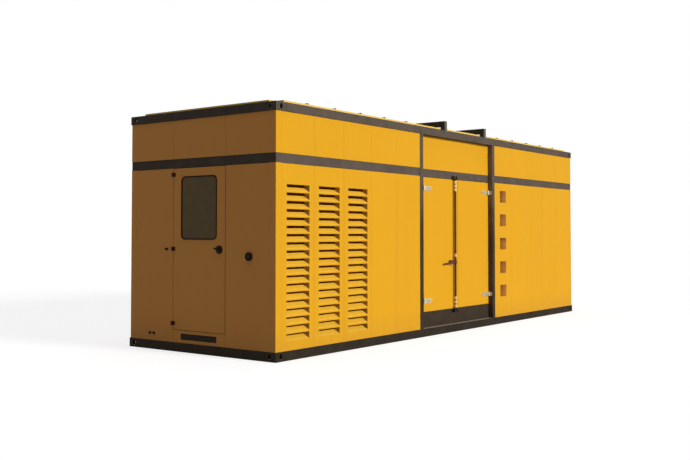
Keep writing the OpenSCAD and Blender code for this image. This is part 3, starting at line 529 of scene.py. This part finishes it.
class PaintSettings(bpy.types.PropertyGroup):
    """Colours and gloss of the finishes."""
    yellow: colour_property("Panel yellow", "Powder coat of the wall panels and doors", "#E8A813")
    # Painted shade: the browner colour of faces that look to the door end.
    end_shade: colour_property("Film on the door end", "Powder coat under the film on the door end", "#E69E50")
    # Painted shade: the colour of the louvre cheeks that look to the door end.
    cheek_shade: colour_property("Louvre cheeks", "Powder coat under soot at the ends of the blades", "#B08C60")
    # Painted shade: the pale colour of the pocket sides that look to the door end.
    pocket_shade: colour_property("Pocket sides", "Sides of the step pockets, scuffed to the primer", "#E0D0B8")
    # Painted light: the brighter yellow of faces that look up.
    top_light_and_dust: colour_property("Dust on the blades", "Powder coat under dust where it looks up", "#FFCA3C")
    soil: colour_property("Soil", "Soil on the panels towards the ground", "#8A6A3C")
    roof: colour_property("Roof yellow", "The powder coat where the sun has bleached it", "#F3CE6A")
    frame_upper: colour_property("Frame, upper", "Paint of the rails above the doors", "#60554B")
    frame_lower: colour_property("Frame, lower", "The same paint where it is soiled", "#3E342A")
    frame_base: colour_property("Frame, base", "The same paint in the splash from the ground", "#342D25")
    # Dust and painted light on frame faces that look up.
    frame_top_light_and_dust: colour_property("Dust on the frame", "Frame paint under dust where it looks up", "#9A8D7D")
    beam: colour_property("Roof steel", "Paint of the ribs and beams on the roof", "#67635C")
    zinc: colour_property("Zinc", "Plated hinges", "#BFB9A2")
    guide: colour_property("Yellow zinc", "Plated and yellow passivated rod guides", "#C0A468")
    maroon: colour_property("Maroon", "Personnel door hinges", "#521E18")
    rod: colour_property("Rod brown", "Lock rod and its handle", "#6B3418")
    grease: colour_property("Grease", "Greased cams at the ends of the lock rod", "#1B1411")
    plastic: colour_property("Plastic", "Lock plate, lever and ring of the stop button", "#2A1B14")
    button: colour_property("Button", "Head of the stop button", "#3B2E2D")
    rubber: colour_property("Rubber", "Window gasket and door seals", "#1B0F07")
    curtain: colour_property("Cable curtain", "Rubber strips in the cable slot", "#393129")
    foam: colour_property("Foam", "Wedge foam of the sound baffles", "#6E4322")
    glass: colour_property("Glass", "Tinted window pane", "#745818")
    yellow_gloss: share_property("Panel gloss", "Specular level of the powder coat", 0.2)
    roof_gloss: share_property("Roof gloss", "Specular level of the chalked roof", 0.04)
    frame_gloss: share_property("Frame gloss", "Specular level of the frame paint", 0.04)
    dust: share_property("Soil at the ground", "How much soil lies on the panels at the ground", 0.25)
    # Painted shade and light: the tones of frame faces that look to the door end.
    painted_end_rails: level_property("Rails of the door end", "Their tone beside the side rails", 0.78)
    painted_end_jambs: level_property("Jambs", "Tone of the jambs where they look to the door end", 1.7)
    painted_end_roof_steel: level_property("Roof steel's side", "Its tone where it looks to the door end", 0.42)
    painted_end_base: level_property("Base of the door end", "Its tone beside the sides", 2.0)


class HardwareSettings(bpy.types.PropertyGroup):
    """Sizes of the small hardware."""
    flats: length_property("Bolt head", "Width across the flats of a bolt head", 17)
    washer: length_property("Washer", "Diameter of a bolt's washer", 22)
    strap_thick: length_property("Strap thickness", "Thickness of a hinge strap on its leaf", 8)
    strap_low: length_property("Lower strap", "Middle of the lower strap over the foot of the straps", 27)
    strap_high: length_property("Upper strap", "Middle of the upper strap under the top of the straps", 32)
    bolt_first: length_property("First bolt", "First bolt of a strap, from the strap's hinge end", 105)
    bolt_pitch: length_property("Bolt spacing", "Spacing of the bolts along a strap", 46)
    bolt_count: count_property("Bolts", "Bolts in a strap", 3)
    cam: length_property("Greased end", "Greased length at each end of the lock rod", 60)
    seal_gap: length_property("Seal clearance", "Gap between a door and its seal", 1.5)
    seal_width: length_property("Seal width", "Width of a door seal in the gap", 4)
    seal_thick: length_property("Seal thickness", "Thickness of a door seal, from front to back", 10)
    seal_depth: length_property("Seal depth", "Set-back of a seal behind the door face", 4)
    curtain_count: count_property("Curtain strips", "Rubber strips in the cable slot", 12)
    curtain_in: length_property("Curtain set-back", "Strips behind the sill's face", 5)
    curtain_thick: length_property("Strip thickness", "Thickness of a rubber strip", 4)
    curtain_cut: length_property("Strip gap", "Cut between two rubber strips", 1)
    baffle_in: length_property("Baffle set-back", "Air gap between louvres and sound baffle", 25)
    baffle_edge: length_property("Baffle margin", "Margin of a baffle inside its louvre panels", 40)
    wedge: length_property("Foam wedge", "Depth of a wedge of the foam", 14)
    wedge_pitch: length_property("Wedge spacing", "Spacing of the foam's wedges", 45)
    foam_back: length_property("Foam back", "Thickness of the foam behind its wedges", 8)
    post: length_property("Baffle post", "Diameter of a post that carries a baffle", 16)
    post_in: length_property("Post margin", "Posts inside the edges of the louvre panels", 60)
    post_head: length_property("Post head", "Height of a post's head behind the foam", 4)
    bead: length_property("Weld bead", "Radius of a weld bead", 4)
    pool: length_property("Weld pool", "Length of one pool of a weld bead", 7)


class StageSettings(bpy.types.PropertyGroup):
    """Camera, lights and floor."""
    sensor: bpy.props.FloatProperty(name="Sensor", description="Width of the sensor", default=36,
                                    unit="CAMERA")
    lens: bpy.props.FloatProperty(name="Lens", description="Focal length", default=46.99, unit="CAMERA")
    eye: bpy.props.FloatVectorProperty(name="Eye", description="Place of the camera",
                                       default=(-11.606, -7.777, 1.431), subtype="TRANSLATION",
                                       unit="LENGTH")
    heading: angle_property("Heading", "Turn of the view from +Y towards +X", 52.97)
    lift: angle_property("Lift", "Rise of the view over the horizon", 1.92)
    shift: bpy.props.FloatVectorProperty(name="Shift", description="Shift of the frame, in picture widths",
                                         default=(0.0063, -0.04), size=2)
    reach: bpy.props.FloatProperty(name="Reach", description="How far the camera sees", default=500,
                                   unit="LENGTH")
    key: level_property("Key light", "Strength of the soft key light", 2.68)
    key_from: bpy.props.FloatVectorProperty(name="Key from", description="Where the key light comes from",
                                            default=(0.12, -0.94, 0.31), subtype="DIRECTION")
    key_soft: angle_property("Key softness", "Apparent size of the key light", 12)
    top: level_property("Top light", "Strength of the soft light overhead", 1.0)
    top_soft: angle_property("Top softness", "Apparent size of the light overhead", 50)
    fill: level_property("Fill", "Strength of the light from all round", 0.088)
    floor: colour_property("Floor", "Matt pale floor", "#A8A8A8")
    floor_glow: level_property("Floor white", "White that the floor shows beside its light", 0.74)
    floor_half: bpy.props.FloatProperty(name="Floor size", description="Half the width of the floor",
                                        default=150, unit="LENGTH")
    floor_drop: length_property("Floor drop", "Gap between the object's base and the floor", 1)


class EnclosureOperator:
    """What the dressing steps share: undo and the settings."""
    bl_options = {"REGISTER", "UNDO"}

    @property
    def paint(self):
        """Colours and gloss of the finishes."""
        return bpy.context.scene.enclosure_paint

    @property
    def hardware(self):
        """Sizes of the small hardware."""
        return bpy.context.scene.enclosure_hardware


class ENCLOSURE_OT_panels(EnclosureOperator, bpy.types.Operator):
    """Powder coats the wall panels, the doors and the roof"""
    bl_idname = "enclosure.panels"
    bl_label = "Panels and doors"

    def execute(self, context):
        paint = self.paint
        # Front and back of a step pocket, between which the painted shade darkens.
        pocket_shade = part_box(POCKET_NODES[0])[0].y, opening("step_pocket_1")[1].y
        # Per finish: nodes, name, painted shade colour towards the door end, and the depths of painted shade
        # in the pockets.
        for nodes, finish, end_shade, depth in (
                (YELLOW_NODES, "folded sheet, yellow", paint.end_shade, None),
                (LOUVRE_NODES, "pressed louvres, yellow", paint.cheek_shade, None),
                (POCKET_NODES, "pressed pockets, yellow", paint.pocket_shade, pocket_shade)):
            dress(nodes, make_powder_coat("Powder coat on " + finish, paint, paint.yellow, end_shade,
                                          paint.top_light_and_dust, paint.yellow_gloss, depth))
        dress(ROOF_NODES, make_powder_coat("Powder coat on folded sheet, bleached", paint, paint.roof,
                                           paint.roof, paint.roof, paint.roof_gloss))
        return {"FINISHED"}


class ENCLOSURE_OT_frame(EnclosureOperator, bpy.types.Operator):
    """Paints the steel frame, the floor plate and the fittings in the frame's colour"""
    bl_idname = "enclosure.frame"
    bl_label = "Frame"

    def execute(self, context):
        paint = self.paint
        dust = paint.frame_top_light_and_dust
        # Per finish: nodes, name, upper and lower colour, colour where it looks up (dust and painted light),
        # painted tone towards the door end.
        for nodes, finish, upper, lower, top_light_and_dust, painted_end_tone in (
                (FRAME_NODES, "brown grey", paint.frame_upper, paint.frame_lower, dust, paint.painted_end_rails),
                (JAMB_NODES, "jambs", paint.frame_upper, paint.frame_lower, dust, paint.painted_end_jambs),
                (BEAM_NODES, "on the roof", paint.beam, paint.beam, paint.beam, paint.painted_end_roof_steel),
                (BASE_NODES, "soiled", paint.frame_base, paint.frame_base, dust, paint.painted_end_base)):
            dress(nodes, make_frame_paint("Alkyd paint on rolled steel, " + finish, upper, lower, top_light_and_dust,
                                          painted_end_tone, paint.frame_gloss))
        return {"FINISHED"}


class ENCLOSURE_OT_hinges(EnclosureOperator, bpy.types.Operator):
    """Plates the leaf hinges and rod guides and sets their bolts"""
    bl_idname = "enclosure.hinges"
    bl_label = "Hinges and guides"

    def execute(self, context):
        sizes = self.hardware
        zinc = make_zinc("Zinc plate on pressed steel", self.paint.zinc)
        dress(ZINC_NODES, zinc)
        dress(GUIDE_NODES, make_zinc("Zinc plate on pressed steel, yellow passivated", self.paint.guide))
        for side, inward in (("left", 1), ("right", -1)):
            low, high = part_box(side + "_straps")
            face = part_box(side + "_leaf")[0].y - sizes.strap_thick
            hinge_x = low.x if inward > 0 else high.x
            bm = bmesh.new()
            for z in (low.z + sizes.strap_low, high.z - sizes.strap_high):
                for i in range(sizes.bolt_count):
                    x = hinge_x + inward * (sizes.bolt_first + i * sizes.bolt_pitch)
                    hex_bolt(bm, Vector((x, face, z)), (0, -1, 0), sizes)
            piece(side + "_strap_bolts", bm, zinc, side + "_leaf")
        return {"FINISHED"}


class ENCLOSURE_OT_lock_rod(EnclosureOperator, bpy.types.Operator):
    """Enamels the lock rod and the personnel door hinges"""
    bl_idname = "enclosure.lock_rod"
    bl_label = "Lock rod"

    def execute(self, context):
        low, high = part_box(ROD_NODES[0])
        grease = (self.paint.grease, low.z + self.hardware.cam, high.z - self.hardware.cam)
        dress(ROD_NODES, make_enamel("Enamel on steel bar, brown", self.paint.rod, grease))
        dress(MAROON_NODES, make_enamel("Enamel on cast hinge, maroon", self.paint.maroon))
        return {"FINISHED"}


class ENCLOSURE_OT_plastics(EnclosureOperator, bpy.types.Operator):
    """Finishes the lock plate, its lever and the stop button"""
    bl_idname = "enclosure.plastics"
    bl_label = "Lock and stop button"

    def execute(self, context):
        dress(PLASTIC_NODES, make_moulded_plastic("Glass-filled nylon, moulded black", self.paint.plastic))
        low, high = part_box(BUTTON_NODES[0])
        dress(BUTTON_NODES, make_button("Polycarbonate button in a moulded ring", self.paint.plastic,
                                        self.paint.button, (low + high) / 2))
        return {"FINISHED"}


class ENCLOSURE_OT_window(EnclosureOperator, bpy.types.Operator):
    """Glazes the personnel door's window in its gasket"""
    bl_idname = "enclosure.window"
    bl_label = "Window"

    def execute(self, context):
        dress(RUBBER_NODES, make_rubber("EPDM gasket, extruded", self.paint.rubber))
        dress(GLASS_NODES, make_glass("Float glass, body-tinted olive", self.paint.glass))
        return {"FINISHED"}


class ENCLOSURE_OT_seals(EnclosureOperator, bpy.types.Operator):
    """Runs rubber seals round the doorways, in the gap beside the doors"""
    bl_idname = "enclosure.seals"
    bl_label = "Door seals"

    def execute(self, context):
        sizes = self.hardware
        rubber = make_rubber("EPDM door seal, extruded", self.paint.rubber)
        near, far = sizes.seal_gap, sizes.seal_gap + sizes.seal_width
        front, back = sizes.seal_depth, sizes.seal_depth + sizes.seal_thick
        bevel = sizes.seal_width / 4
        profile = [(near, front + bevel), (near + bevel, front), (far, front), (far, back), (near, back)]
        double_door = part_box("left_leaf")[0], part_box("right_leaf")[1]
        for name, corners, outward in (
                ("personnel_door_seal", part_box("personnel_door"), (-1, 0, 0)),
                ("double_door_seal", double_door, (0, -1, 0))):
            bm = bmesh.new()
            frame_strip(bm, corners, outward, profile)
            piece(name, bm, rubber, "enclosure")
        return {"FINISHED"}


class ENCLOSURE_OT_curtain(EnclosureOperator, bpy.types.Operator):
    """Hangs rubber strips in the cable slot under the personnel door"""
    bl_idname = "enclosure.curtain"
    bl_label = "Cable curtain"

    def execute(self, context):
        sizes = self.hardware
        rubber = make_rubber("Nitrile strip, cut from sheet", self.paint.curtain)
        low, high = opening("cable_slot")
        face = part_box("door_sill_panel")[0].x + sizes.curtain_in
        width = (high.y - low.y) / sizes.curtain_count
        bm = bmesh.new()
        for i in range(sizes.curtain_count):
            start = low.y + i * width
            across = (start, start + width - sizes.curtain_cut)
            strip(bm, across, (low.z, high.z), face, sizes.curtain_thick)
        piece("cable_curtain", bm, rubber, "enclosure")
        return {"FINISHED"}


class ENCLOSURE_OT_baffles(EnclosureOperator, bpy.types.Operator):
    """Stands foam-faced sound baffles behind the louvres, on posts from the panels"""
    bl_idname = "enclosure.baffles"
    bl_label = "Sound baffles"

    def execute(self, context):
        sizes = self.hardware
        foam = make_foam("Polyether foam, cut in wedges", self.paint.foam)
        zinc = make_zinc("Zinc plate on turned posts", self.paint.zinc)
        deep = sizes.baffle_in + sizes.wedge + sizes.foam_back
        edge = sizes.baffle_edge
        shank = sizes.post / 2
        rim, crown = shank * 1.5, shank * 1.2
        top = deep + sizes.post_head
        post = [(shank, 0), (shank, deep), (rim, deep), (rim, (deep + top) / 2), (crown, top)]
        for node, inward in zip(LOUVRE_NODES, (1, -1)):
            low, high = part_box(node)
            skin = high.y if inward > 0 else low.y
            side = node.split("_")[0]
            bm = bmesh.new()
            wedge_foam(bm, Vector((low.x + edge, skin + inward * sizes.baffle_in, low.z + edge)),
                       Vector((high.x - edge, 0, high.z - edge)), skin + inward * deep, sizes)
            piece(side + "_baffle", bm, foam, "enclosure")
            bm = bmesh.new()
            for x in (low.x + sizes.post_in, high.x - sizes.post_in):
                for z in (low.z + sizes.post_in, high.z - sizes.post_in):
                    stack(bm, facing(Vector((x, skin, z)), (0, inward, 0)), post, sides=16)
            piece(side + "_baffle_posts", bm, zinc, "enclosure")
        return {"FINISHED"}


class ENCLOSURE_OT_welds(EnclosureOperator, bpy.types.Operator):
    """Lays the weld beads between the corner fittings and the rails"""
    bl_idname = "enclosure.welds"
    bl_label = "Welds"

    def execute(self, context):
        paint = frame["nodes"][FRAME_NODES[0]].data.materials[0]
        end_gap = self.hardware.bead
        bm = bmesh.new()
        for node in ("bottom_fittings", "top_fittings"):
            low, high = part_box(node)
            points = [vertex.co for vertex in frame["nodes"][node].data.vertices]
            inner_x = min(abs(point.x) for point in points)
            inner_y = min(abs(point.y) for point in points)
            for x_sign in (-1, 1):
                for y_sign in (-1, 1):
                    for x, y in ((inner_x, high.y), (high.x, inner_y)):
                        start = Vector((x * x_sign, y * y_sign, low.z + end_gap))
                        end = Vector((x * x_sign, y * y_sign, high.z - end_gap))
                        weld(bm, start, end, self.hardware)
        piece("fitting_welds", bm, paint, "enclosure")
        return {"FINISHED"}


class ENCLOSURE_OT_stage(EnclosureOperator, bpy.types.Operator):
    """Sets the floor, the soft light and the camera"""
    bl_idname = "enclosure.stage"
    bl_label = "Studio"

    def execute(self, context):
        scene = context.scene
        stage = scene.enclosure_stage
        self.lay_floor(scene, stage)
        self.hang_lights(scene, stage)
        self.set_camera(scene, stage)
        scene.view_settings.view_transform = "Standard"
        return {"FINISHED"}

    def seen(self, tree):
        """One where a ray comes from the camera, a mirror or glass, so these show the white backdrop."""
        path = add(tree, "ShaderNodeLightPath")
        camera, glossy = path.outputs["Is Camera Ray"], path.outputs["Is Glossy Ray"]
        first = add(tree, "ShaderNodeMath", {0: camera, 1: glossy}, operation="MAXIMUM")
        through = path.outputs["Is Transmission Ray"]
        return add(tree, "ShaderNodeMath", {0: first, 1: through}, operation="MAXIMUM")

    def lay_floor(self, scene, stage):
        """Matt floor under the object, which shows as white and keeps its shadow."""
        bm = bmesh.new()
        bmesh.ops.create_grid(bm, x_segments=4, y_segments=4, size=stage.floor_half)
        mesh = bpy.data.meshes.new("floor")
        bm.to_mesh(mesh)
        bm.free()
        floor = bpy.data.objects.new("floor", mesh)
        floor.location.z = -stage.floor_drop
        scene.collection.objects.link(floor)
        material = bpy.data.materials.new("Matt pale floor")
        material.use_nodes = True
        tree = material.node_tree
        tree.nodes.clear()
        matt = add(tree, "ShaderNodeBsdfDiffuse", Color=rgba(stage.floor))
        glow = add(tree, "ShaderNodeMath", {0: self.seen(tree)}, operation="MULTIPLY", _1=stage.floor_glow)
        white = add(tree, "ShaderNodeEmission", {"Strength": glow}, Color=(1, 1, 1, 1))
        both = add(tree, "ShaderNodeAddShader", {0: matt, 1: white})
        add(tree, "ShaderNodeOutputMaterial", {"Surface": both})
        mesh.materials.append(material)

    def hang_lights(self, scene, stage):
        """Soft key from the front, soft light overhead and a weak fill from all round."""
        for name, strength, size, source in (
                ("soft_key", stage.key, stage.key_soft, Vector(stage.key_from)),
                ("soft_top", stage.top, stage.top_soft, Vector((0, 0, 1)))):
            sun = bpy.data.lights.new(name, "SUN")
            sun.energy = strength
            sun.angle = size
            lamp = bpy.data.objects.new(name, sun)
            lamp.rotation_mode = "QUATERNION"
            lamp.rotation_quaternion = (-source).to_track_quat("-Z", "Y")
            scene.collection.objects.link(lamp)
        world = bpy.data.worlds.new("soft_fill")
        world.use_nodes = True
        tree = world.node_tree
        tree.nodes.clear()
        level = add(tree, "ShaderNodeMapRange", {"Value": self.seen(tree)}, To_Min=stage.fill, To_Max=1)
        sky = add(tree, "ShaderNodeBackground", {"Strength": level}, Color=(1, 1, 1, 1))
        add(tree, "ShaderNodeOutputWorld", {"Surface": sky})
        scene.world = world

    def set_camera(self, scene, stage):
        """Camera at eye height, off the corner of the door end and the double doors."""
        data = bpy.data.cameras.new("camera")
        data.lens = stage.lens
        data.sensor_width = stage.sensor
        data.sensor_fit = "HORIZONTAL"
        data.shift_x, data.shift_y = stage.shift
        data.clip_end = stage.reach
        camera = bpy.data.objects.new("camera", data)
        camera.location = stage.eye
        ahead = Vector((math.sin(stage.heading) * math.cos(stage.lift),
                        math.cos(stage.heading) * math.cos(stage.lift), math.sin(stage.lift)))
        camera.rotation_mode = "QUATERNION"
        camera.rotation_quaternion = ahead.to_track_quat("-Z", "Y")
        scene.collection.objects.link(camera)
        scene.camera = camera


STEPS = (
    ENCLOSURE_OT_stage, ENCLOSURE_OT_panels, ENCLOSURE_OT_frame, ENCLOSURE_OT_hinges,
    ENCLOSURE_OT_lock_rod, ENCLOSURE_OT_plastics, ENCLOSURE_OT_window, ENCLOSURE_OT_seals,
    ENCLOSURE_OT_curtain, ENCLOSURE_OT_baffles, ENCLOSURE_OT_welds)


class ENCLOSURE_PT_dressing(bpy.types.Panel):
    """Lists the dressing steps in the sidebar"""
    bl_idname = "ENCLOSURE_PT_dressing"
    bl_label = "Enclosure"
    bl_space_type = "VIEW_3D"
    bl_region_type = "UI"
    bl_category = "Enclosure"

    def draw(self, context):
        for step in STEPS:
            self.layout.operator(step.bl_idname)


GROUPS = {
    "enclosure_paint": PaintSettings,
    "enclosure_hardware": HardwareSettings,
    "enclosure_stage": StageSettings,
}
CLASSES = (*GROUPS.values(), *STEPS, ENCLOSURE_PT_dressing)


def register():
    """Adds the settings, the steps and the panel."""
    for cls in CLASSES:
        bpy.utils.register_class(cls)
    for name, group in GROUPS.items():
        setattr(bpy.types.Scene, name, bpy.props.PointerProperty(type=group))


def unregister():
    """Takes them away again."""
    for name in GROUPS:
        delattr(bpy.types.Scene, name)
    for cls in reversed(CLASSES):
        bpy.utils.unregister_class(cls)


def main():
    """Runs every step in order."""
    register()
    for step in STEPS:
        group, call = step.bl_idname.split(".")
        getattr(getattr(bpy.ops, group), call)()


if __name__ == "__main__":
    main()
